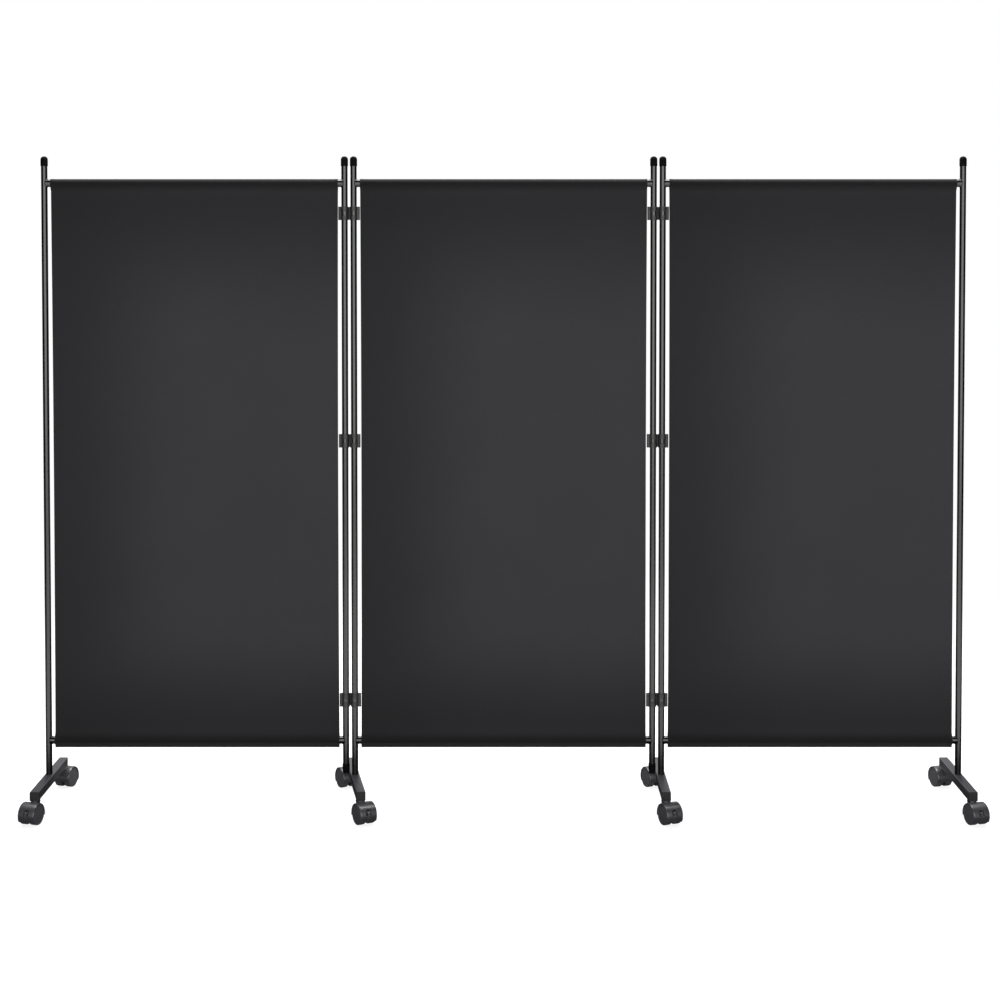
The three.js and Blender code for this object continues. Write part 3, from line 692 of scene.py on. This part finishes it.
class SCREEN_OT_cloths(bpy.types.Operator):
    """Makes the three stretched cloths, each with a pocket round both of its rails"""

    bl_idname = "screen.cloths"
    bl_label = "Cloths"

    def execute(self, context):
        settings = context.scene.screen_cloth
        slack = 0.25 * MM
        radius = context.scene.screen_tubes.rail_radius + settings.thickness / 2 + slack
        material = None
        for panel in PANELS:
            low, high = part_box(f"{panel}_fabric")
            heights = [middle(f"{panel}_{level}_rail").z for level in LEVELS]
            run, seams = run_of_cloth(settings, radius, *heights, low.z)
            half = (high.x - low.x) / 2
            material = material or woven_cloth(settings, seams, half)
            sheet = sweep_cloth(settings, run, half, (low.x + high.x) / 2, heights)
            made = thicken(f"{panel}_cloth", sheet, material, settings, panel)
        return {"FINISHED"}


def hinge_reach(side):
    """Half the distance between the two posts of a hinge"""
    inner = Vector(JOINTS[f"{side}_clips_on_middle_post"]["pos_m"])
    outer = Vector(JOINTS[f"{side}_panel_fold"]["pos_m"])
    return (inner - outer).length / 2


def make_clip(sizes, bore, height, reach):
    """One clip, centred on the hinge and standing on z = 0"""
    wide, swell, root, lower = 1.5 * MM, 2.4 * MM, 2.2 * MM, 2 * MM
    start, end = reach + sizes.radius - root, reach + sizes.radius + sizes.lip_reach
    parts = []
    for sign in SIDES.values():
        ring = make_ring(sizes, bore, height)
        if sign < 0:
            outward(place(ring, HALF_TURN @ Matrix.Scale(-1, 4, (0, 1, 0))))
        parts.append(place(ring, Matrix.Translation((sign * reach, 0, 0))))
        for face in (-1, 1):
            x, y = sign * (start + end) / 2, face * (sizes.split + sizes.lip) / 2
            lip = block(end - start, sizes.lip, height, (x, y, height / 2))
            for vert in lip.verts:
                if abs(vert.co.x) < abs(x) and face * vert.co.y > face * y:
                    vert.co.y += face * sizes.gusset
            bead_at = (sign * (end - wide / 2), y + face * swell / 2, height / 2)
            parts += [lip, block(wide, sizes.lip + swell, height, bead_at)]
    web = block(sizes.web_width, sizes.web, height - lower, (0, sizes.web_set, height / 2))
    return together(web, *parts)


def make_ring(sizes, bore, height):
    """A split ring with its window towards the front and its split towards +X"""
    low, steps = (height - sizes.window_height) / 2, 96
    levels = [0, low, low + sizes.window_height, height]
    outline = [(sizes.radius, z) for z in levels] + [(bore, z) for z in reversed(levels)]
    ring = lathe(outline, steps, closed=True)
    cut = []
    for face in ring.faces:
        at = face.calc_center_median()
        turn = atan2(at.y, at.x)
        in_window = abs(turn + pi / 2) < sizes.window_half and levels[1] < at.z < levels[2]
        upright = abs(face.normal.z) < 0.5
        if abs(turn) < tau / steps or (in_window and upright):
            cut.append(face)
    bmesh.ops.delete(ring, geom=cut, context="FACES")
    open_edges = [edge for edge in ring.edges if edge.is_boundary]
    window = [edge for edge in open_edges if (edge.verts[0].co + edge.verts[1].co).y < -0.5 * bore]
    bmesh.ops.bridge_loops(ring, edges=window)
    bmesh.ops.holes_fill(ring, edges=[edge for edge in ring.edges if edge.is_boundary], sides=0)
    return outward(ring)


class SCREEN_OT_hinge_clips(bpy.types.Operator):
    """Makes the six hinge clips, each a pair of windowed split rings with a web between them"""

    bl_idname = "screen.hinge_clips"
    bl_label = "Hinge clips"

    def execute(self, context):
        sizes = context.scene.screen_clips
        bore = context.scene.screen_tubes.post_radius + POST_ROOM
        finish = {"roughness": 0.4, "gloss_level": 0.35, "spark": 0.7 * MM, "depth": 0.04 * MM}
        nylon = moulded_plastic("glass_filled_nylon_clip", sizes.colour, **finish)
        for side in SIDES:
            for level in CLIP_PLACES:
                node, body = f"{side}_hinge_clip_{level}", f"{side}_hinge_clips"
                low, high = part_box(node)
                clip = make_clip(sizes, bore, high.z - low.z, hinge_reach(side))
                place(clip, Matrix.Translation(((low.x + high.x) / 2, 0, low.z)))
                piece(f"{node}_moulding", clip, nylon, body, [node], "clip_plastic", rounding=0.45 * MM)
        return {"FINISHED"}


def set_of_foot(foot, height):
    """Where a foot lies and how it is turned, from the stems of its two casters"""
    front, rear = (Vector(JOINTS[f"{foot}_{end}_caster_swivel"]["pos_m"]) for end in ENDS)
    centre, reach = (front + rear) / 2, rear - front
    turn = atan2(-reach.x, reach.y)
    return Matrix.Translation((centre.x, centre.y, height)) @ Matrix.Rotation(turn, 4, "Z")


def round_long_edges(mesh, sizes, shortest):
    """Rounds the edges that run along a foot"""

    def runs_along(edge):
        return abs(edge.verts[0].co.y - edge.verts[1].co.y) > shortest

    round_edges(mesh, sizes.corner, 6, runs_along)


def make_bar(sizes, span):
    """A length of square tube with rounded corners, open at its ends"""
    tube = block(sizes.bar, span, sizes.bar)
    round_long_edges(tube, sizes, span / 2)
    ends = [face for face in tube.faces if abs(face.normal.y) > 0.9]
    bmesh.ops.delete(tube, geom=ends, context="FACES")
    bmesh.ops.solidify(tube, geom=tube.faces[:], thickness=sizes.wall)
    return outward(tube)


def make_plug(sizes):
    """A plug with a rounded rim and a shallow recess, its face at y = 0 towards the front"""
    rim, depth, play = 0.7 * MM, 5 * MM, 0.6 * MM
    face = block(sizes.bar, sizes.plug_face, sizes.bar, (0, sizes.plug_face / 2, 0))
    round_long_edges(face, sizes, MM)

    def in_front(point):
        return point.y < 0.01 * MM

    round_edges(face, rim, 3, lambda edge: all(in_front(vert.co) for vert in edge.verts))
    flats = [flat for flat in face.faces if in_front(flat.calc_center_median())]
    front = [max(flats, key=lambda flat: flat.calc_area())]
    # The recess has a sloping edge and then a steep one, each as (width, depth)
    slope, steep = (0.5 * MM, 0.2 * MM), (0.25 * MM, sizes.plug_recess - 0.2 * MM)
    for width, sunk in ((sizes.plug_margin - rim, 0.0), slope, steep):
        bmesh.ops.inset_region(face, faces=front, thickness=width, depth=-sunk)
    inner = sizes.bar - 2 * sizes.wall - play
    insert = block(inner, depth, inner, (0, sizes.plug_face + depth / 2, 0))
    return together(face, round_edges(insert, 1 * MM, 2))


class SCREEN_OT_foot_bars(bpy.types.Operator):
    """Makes the four square foot bars and the plugs in their ends"""

    bl_idname = "screen.foot_bars"
    bl_label = "Foot bars"

    def execute(self, context):
        sizes = context.scene.screen_feet
        # Painted light: the same black coat as on the tubes, painted a lighter grey for the sheen on the bars
        coat = powder_coat("lit_grey_powder_coat_on_square_tube", sizes.coat, roughness=0.4, gloss_level=0.16)
        plastic = moulded_plastic("moulded_polypropylene_plug", sizes.colour, roughness=0.5, gloss_level=0.25)
        for foot, panel in FEET.items():
            at = set_of_foot(foot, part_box(f"{foot}_foot_bar")[0].z + sizes.bar / 2)
            bar = place(make_bar(sizes, sizes.tube), at)
            piece(f"{foot}_foot_tube", bar, coat, panel, [f"{foot}_foot_bar"], "powder_coat", even=True)
            for end, sign in ENDS.items():
                nodes = [f"{foot}_{end}_bar_plug"]
                facing = HALF_TURN if sign > 0 else Matrix()
                plug = place(make_plug(sizes), at @ Matrix.Translation((0, sign * sizes.tip, 0)) @ facing)
                piece(f"{foot}_{end}_plug", plug, plastic, panel, nodes, "plug_plastic", crease=50, even=True)
        return {"FINISHED"}


def make_caster(sizes, looks, name, braked):
    """One caster, made round its axle and then set under its foot bar"""
    stem_at = Vector(JOINTS[f"{name}_caster_swivel"]["pos_m"])
    roll = JOINTS[f"{name}_wheels_roll"]
    axle_at, across = Vector(roll["pos_m"]), Vector(roll["axis"])
    turn = Matrix.Rotation(atan2(across.y, across.x), 4, "Z")
    at_axle = Matrix.Translation(axle_at) @ turn
    at_stem = Matrix.Translation((stem_at.x, stem_at.y, 0)) @ turn

    def add(part, mesh, look, body, replaced, slot, at=at_axle, **edges):
        nodes = [f"{name}_{node}" for node in replaced]
        piece(f"{name}_{part}", place(mesh, at), looks[look], f"{name}_{body}", nodes, slot, **edges)

    nylon, body, slot = "hood", "caster", "caster_plastic"
    add("hood", make_hood(sizes, braked), nylon, body, ["caster_housing"], slot, rounding=0.35 * MM)
    add("web", make_web(sizes, braked), nylon, body, (), slot, rounding=0.3 * MM)
    add("swivel_boss", make_boss(sizes), nylon, body, (), slot, at_stem, even=True)
    add("stem", make_stem(sizes), "metal", body, (), slot, at_stem, even=True)
    for side, sign in SIDES.items():
        wheel = place(make_wheel(sizes), Matrix.Rotation(sign * pi / 2, 4, "Y"))
        replaced = ["caster_wheels"] if sign < 0 else ()
        add(f"{side}_wheel", wheel, "wheel", "wheels", replaced, "wheel_plastic", even=True)
    add("axle", rod(3 * MM, sizes.gap, 24), "metal", "wheels", (), "wheel_plastic")
    if braked:
        pivot = at_axle.inverted() @ Vector(JOINTS[f"{name}_brake_press"]["pos_m"])
        lever = make_lever(sizes, pivot)
        add("lever", lever, "lever", "brake", ["brake_lever"], "lever_plastic", rounding=0.5 * MM)


def make_hood(sizes, braked):
    """The barrel over both wheels, with the lever's arched slot where there is a brake"""
    half, slot, side, bore = sizes.width / 2, sizes.slot_width / 2, sizes.hood_radius, sizes.hood_bore
    crown = side + sizes.hood_crown
    right = [(slot / 2, crown), (slot, crown - 0.02 * MM), (half * 0.6, crown - 0.12 * MM)]
    right += near((half, side), (-2.2, 0), (-1.2, -0.25), (-0.4, -0.75), (0, -1.4))
    right += [(half, bore), (slot, bore), (slot / 2, bore)]
    outline = right + [(-x, radius) for x, radius in reversed(right)]
    step = radians(2.5)
    steps = round((sizes.hood_end - sizes.hood_start) / step)
    hood = round_axle(outline, sizes.hood_start, sizes.hood_end, steps)
    if not braked:
        return hood

    def turn_at(point):
        return atan2(point.z, -point.y)

    def in_slot(face):
        at = face.calc_center_median()
        beside = abs(at.x) < slot and len(face.verts) == 4
        return beside and sizes.slot_foot < turn_at(at) < sizes.slot_head

    bmesh.ops.delete(hood, geom=[face for face in hood.faces if in_slot(face)], context="FACES")
    rim = [edge for edge in hood.edges if edge.is_boundary]
    # The slot's head is an arch: its corners lie lower than its middle
    lowered = Matrix.Rotation(2.6 * step, 3, "X")
    for vert in {vert for edge in rim for vert in edge.verts}:
        if turn_at(vert.co) > sizes.slot_head - step / 2 and abs(vert.co.x) > slot * 0.9:
            vert.co = lowered @ vert.co
    bmesh.ops.bridge_loops(hood, edges=rim)
    return outward(hood)


def make_web(sizes, braked):
    """The plate between the wheels: two cheeks, and a filling that leaves room for the lever"""
    cheek = 2 * MM
    blade, start, end = sizes.web / 2 - cheek, sizes.hood_start, sizes.hood_end
    low_front = Vector((0, -cos(start), sin(start))) * sizes.hood_bore
    low_rear = Vector((0, -cos(end), sin(end))) * sizes.hood_bore
    chord = (low_rear - low_front).normalized()
    down = Vector((0, chord.z, -chord.y))
    if down.z > 0:
        down.negate()
    parts = []
    for x in (-blade - cheek, blade):
        disc = bmesh.new()
        bmesh.ops.create_circle(disc, cap_ends=True, radius=sizes.hood_bore + 0.8 * MM, segments=72)
        place(disc, ALONG_X)
        everything = disc.verts[:] + disc.edges[:] + disc.faces[:]
        bmesh.ops.bisect_plane(disc, geom=everything, plane_co=low_front, plane_no=down, clear_outer=True)
        grown = bmesh.ops.extrude_face_region(disc, geom=disc.faces[:])["geom"]
        moved = [part for part in grown if isinstance(part, bmesh.types.BMVert)]
        bmesh.ops.translate(disc, vec=(cheek, 0, 0), verts=moved)
        bmesh.ops.translate(disc, vec=(x, 0, 0), verts=disc.verts)
        parts.append(outward(disc))
    inner, outer = 4 * MM, sizes.hood_bore + 0.6 * MM
    outline = [(-blade, inner), (blade, inner), (blade, outer), (-blade, outer)]
    return together(*parts, round_axle(outline, sizes.slot_head if braked else start, end, 40))


def make_boss(sizes):
    """The boss that rises from the hood to the foot bar, flared where it leaves the hood"""
    top = (0, sizes.boss_top)
    outline = near(top, (0, 0), (11.6, 0), (12.4, -0.3), (12.8, -1), (12.8, -2.2), (12.2, -3), (12, -7))
    return lathe(outline + near(top, (11.6, -11), (10.4, -16), (8.6, -20), (0, -21)), 48)


def make_stem(sizes):
    """The stem that turns in the foot bar's socket, with its collar and its retaining groove"""
    seat, collar = sizes.boss_top, sizes.boss_top + sizes.collar
    outline = near((0, seat), (0, -2), (4, -2), (4, 0), (12.2, 0), (12.5, 0.3))
    outline += near((0, collar), (12.5, -0.3), (12.2, 0), (4, 0))
    top = (0, seat + 20.6 * MM)
    outline += near(top, (4, -4), (3.3, -3.6), (3.3, -2.4), (4, -2), (4, -1), (3.2, 0), (0, 0))
    return lathe(outline, 32)


def make_wheel(sizes):
    """A wheel with a crowned tread, a thin raised rim and a smooth outer disc towards +Z"""
    radius, inner, outer = sizes.wheel_radius, sizes.gap / 2, sizes.width / 2
    outline = near((0, inner), (0, 3), (3.05, 3), (3.05, 0.6), (9, 0.6), (9.4, 2), (22, 2))
    outline += near((0, inner), (22.5, 0.4), (23, 0))
    outline += near((radius, inner), (-2.6, 0), (-1.1, 0.5), (-0.3, 1.6), (-0.05, 3.2))
    outline.append((radius, (inner + outer) / 2))
    outline += near((radius, outer), (-0.05, -3.2), (-0.3, -1.6), (-1, -0.5), (-1.9, -0.1), (-2.8, 0))
    outline += near((radius, outer), (-3.3, -0.1), (-3.7, -0.7), (-4.3, -0.9), (-5.5, -0.8))
    outline += near((0, outer), (12, -0.2), (6, -0.05), (0, 0))
    return lathe(outline, 72)


def make_lever(sizes, pivot):
    """The brake lever: hub, pin and blade inside the hood, and a neck out to a curved tab"""
    reach, half, neck_half = sizes.tab_reach, sizes.tab_width / 2, 3.6 * MM
    inner, shoulder, crown = reach - 1.6 * MM, reach - 0.5 * MM, 0.5 * MM
    outline = [(-half, inner), (half, inner), (half, shoulder), (half * 0.6, reach)]
    outline += [(0, reach + crown * 0.3), (-half * 0.6, reach), (-half, shoulder)]
    tab = round_axle(outline, radians(-24), radians(6), 16)
    outline = near((neck_half, reach), (0, -2), (0, -0.4))
    outline = [(-neck_half, outline[0][1]), *outline, (-neck_half, outline[1][1])]
    start, end = radians(2), radians(28)
    neck = round_axle(outline, start, end, 12)
    for vert in neck.verts:
        # Above the tab the neck curves inwards through the slot
        share = (atan2(vert.co.z, -vert.co.y) - start) / (end - start)
        inward = 1 - 0.2 * max(0.0, share - 0.2) ** 1.5
        vert.co.y *= inward
        vert.co.z *= inward
    run = reach - 1.5 * MM - 10 * MM
    blade = block(4.4 * MM, run, 4 * MM, (0, -run / 2, 0))
    at_pivot, lean = Matrix.Translation(pivot), atan2(pivot.z, -pivot.y)
    place(blade, at_pivot @ Matrix.Rotation(-lean, 4, "X"))
    hub = place(rod(3.5 * MM, 2.2 * MM, 24), at_pivot)
    pin = place(rod(1.9 * MM, 4.2 * MM, 16), at_pivot)
    return together(tab, neck, blade, hub, pin)


class SCREEN_OT_casters(bpy.types.Operator):
    """Makes the eight casters: hood, swivel boss and stem, two wheels and, in front, a brake lever"""

    bl_idname = "screen.casters"
    bl_label = "Casters"

    def execute(self, context):
        sizes = context.scene.screen_casters
        finishes = {
            "hood": (sizes.hood_colour, 0.32, 0.75),
            "wheel": (sizes.wheel_colour, 0.6, 0.1),
            "lever": (sizes.lever_colour, 0.36, 0.5),
        }
        looks = {part: moulded_plastic(f"moulded_nylon_{part}", *look) for part, look in finishes.items()}
        looks["metal"] = zinc_plate()
        for foot in FEET:
            for end in ENDS:
                make_caster(sizes, looks, f"{foot}_{end}", end == "front")
        return {"FINISHED"}


def seen_rays(tree):
    """1 for what the camera sees, also in a reflection or through a body, and the kinds of rays"""
    rays = add_node(tree, "LightPath")
    seen = rays["Is Camera Ray"]
    for kind in ("Is Glossy Ray", "Is Transmission Ray"):
        seen = add_node(tree, "Math", (seen, rays[kind]), operation="MAXIMUM")[0]
    return seen, rays


def make_floor():
    """A wide pale floor that keeps the screen's shadow and turns plain white further out"""
    # Matt studio floor, lifted to near white where it is seen, so that only shadows show on it
    material, tree, shader = new_material("pale_studio_floor")
    tree.nodes.remove(shader)
    add = partial(add_node, tree)
    seen, rays = seen_rays(tree)
    grey, lift, white_from, white_to = (0.3, 0.3, 0.3, 1), 0.85, 2.4, 3.6
    distance = add("VectorMath", (add("TexCoord")["Object"],), operation="LENGTH")["Value"]
    further = add("MapRange", (distance, white_from, white_to))["Result"]
    plain = add("Math", (further, seen), operation="MULTIPLY")[0]
    # The near floor isn't lifted in reflections, or the low faces of the feet would glare
    share = add("Math", (rays["Is Glossy Ray"], -lift, lift), operation="MULTIPLY_ADD")[0]
    strength = add("Math", (seen, share), operation="MULTIPLY")[0]
    matt, glow = add("BsdfDiffuse", {"Color": grey})[0], add("Emission", {"Strength": strength})[0]
    close_by, white = add("AddShader", (matt, glow))[0], add("Emission", {"Strength": 1.0})[0]
    mixed = add("MixShader", (plain, close_by, white))[0]
    feed(tree, tree.nodes["Material Output"], {"Surface": mixed})
    make_flat("studio_floor", Matrix.Translation((0, 0, -0.3 * MM)), (60.0, 60.0), material)


def make_surroundings(scene):
    """White to the camera and in reflections, and a soft grey light on the object"""
    scene.world = bpy.data.worlds.new("studio")
    scene.world.use_nodes = True
    tree = scene.world.node_tree
    dimmed = {"Value": seen_rays(tree)[0], "To Min": 0.12, "To Max": 1.0}
    strength = add_node(tree, "MapRange", dimmed)["Result"]
    feed(tree, tree.nodes["Background"], {"Color": (1, 1, 1, 1), "Strength": strength})


def make_softbox(name, at, aim, size, power):
    """A soft rectangular light, aimed at a point"""
    data = bpy.data.lights.new(name, "AREA")
    data.shape = "RECTANGLE"
    data.size, data.size_y = size
    data.energy = power
    light = bpy.data.objects.new(name, data)
    light.location = at
    light.rotation_euler = (aim - at).to_track_quat("-Z", "Y").to_euler()
    light.visible_camera = False
    bpy.context.scene.collection.objects.link(light)
    return light


def make_drapes():
    """Cloths out of view: dark ones round the screen, and a pale one on the floor in front"""
    # Black stage cloth, brushed so that it gives back almost no light
    black, tree, shader = new_material("black_molton")
    dark = {"Base Color": shade(linear("#161616")), "Roughness": 1.0, "Specular IOR Level": 0.0}
    feed(tree, shader, dark)
    # White cloth under bright light, which puts a soft pale band in low reflections
    pale, tree, shader = new_material("lit_white_cloth")
    tree.nodes.remove(shader)
    glow = add_node(tree, "Emission", {"Strength": 2.4})[0]
    feed(tree, tree.nodes["Material Output"], {"Surface": glow})
    for name, side in (("left_drape", -1), ("right_drape", 1)):
        at = Matrix.Translation((side * 3.6, 3.2, 2.15)) @ ALONG_X
        make_flat(name, at, (4.2, 13.0), black).visible_camera = False
    # The next three show in reflections alone, so they neither light nor shade the screen
    for name, at, size, material in (
        ("overhead_drape", (0, -2.6, 3.2), (7.1, 4.2), black),
        ("floor_drape", (0, 0.9, 0.005), (7.1, 6.0), black),
        ("floor_cloth", (0.4, -2.4, 0.01), (5.8, 3.9), pale),
    ):
        drape = make_flat(name, Matrix.Translation(at), size, material)
        drape.visible_camera = drape.visible_diffuse = drape.visible_shadow = False


def make_flat(name, at, size, material):
    """A flat rectangle of the stage"""
    mesh = bmesh.new()
    bmesh.ops.create_grid(mesh, x_segments=1, y_segments=1, size=0.5)
    bmesh.ops.scale(mesh, vec=(*size, 1), verts=mesh.verts)
    made = make_object(name, place(mesh, at), material)
    return made


def make_camera(scene):
    """The camera, in front of the middle panel and a little below the posts' tops"""
    sizes = scene.screen_stage
    data = bpy.data.cameras.new("camera")
    data.lens, data.sensor_width = sizes.lens, 36.0
    data.shift_y = sizes.shift
    camera = bpy.data.objects.new("camera", data)
    camera.location = (sizes.offset, -sizes.distance, sizes.height)
    camera.rotation_euler = (pi / 2 - sizes.pitch, 0, 0)
    scene.collection.objects.link(camera)
    scene.camera = camera


class SCREEN_OT_stage(bpy.types.Operator):
    """Makes the pale floor, the soft studio lights, the white surroundings and the camera"""

    bl_idname = "screen.stage"
    bl_label = "Stage"

    def execute(self, context):
        make_floor()
        make_surroundings(context.scene)
        # Place, aim and size in metres, power in watts, and whether reflections show it
        for name, at, aim, size, power, reflected in (
            ("front_softbox", (0.6, -6.2, 1.9), (0.6, 0, 1.9), (9.0, 3.6), 340, True),
            ("floor_softbox", (0, -3.0, 0.02), (0, -2.9, 2.0), (9.0, 2.6), 118, False),
            ("top_softbox", (0, 0.7, 4.4), (0, 0.7, 0), (5.0, 2.0), 430, True),
            ("rear_softbox", (0, 5.5, 2.4), (0, 0, 0.9), (6.0, 2.4), 150, False),
        ):
            make_softbox(name, Vector(at), Vector(aim), size, power).visible_glossy = reflected
        make_drapes()
        make_camera(context.scene)
        context.scene.view_settings.view_transform = "Standard"
        return {"FINISHED"}


class SCREEN_PT_screen(bpy.types.Panel):
    """Lists the screen's operators and sizes"""

    bl_idname = "SCREEN_PT_screen"
    bl_label = "Privacy Screen"
    bl_space_type = "VIEW_3D"
    bl_region_type = "UI"
    bl_category = "Screen"

    def draw(self, context):
        for operator in OPERATORS:
            self.layout.operator(operator.bl_idname)
        for name, group in GROUPS.items():
            box = self.layout.box()
            box.label(text=name.removeprefix("screen_").capitalize())
            for setting in group.__annotations__:
                box.prop(getattr(context.scene, name), setting)


OPERATORS = (
    SCREEN_OT_tubes,
    SCREEN_OT_post_caps,
    SCREEN_OT_cloths,
    SCREEN_OT_hinge_clips,
    SCREEN_OT_foot_bars,
    SCREEN_OT_casters,
    SCREEN_OT_stage,
)


def register():
    for cls in (*GROUPS.values(), *OPERATORS, SCREEN_PT_screen):
        bpy.utils.register_class(cls)
    for name, group in GROUPS.items():
        setattr(bpy.types.Scene, name, bpy.props.PointerProperty(type=group))


def unregister():
    for name in GROUPS:
        delattr(bpy.types.Scene, name)
    for cls in (SCREEN_PT_screen, *reversed(OPERATORS), *reversed(GROUPS.values())):
        bpy.utils.unregister_class(cls)


def main():
    register()
    bpy.ops.screen.tubes()
    bpy.ops.screen.post_caps()
    bpy.ops.screen.cloths()
    bpy.ops.screen.hinge_clips()
    bpy.ops.screen.foot_bars()
    bpy.ops.screen.casters()
    bpy.ops.screen.stage()


if __name__ == "__main__":
    main()
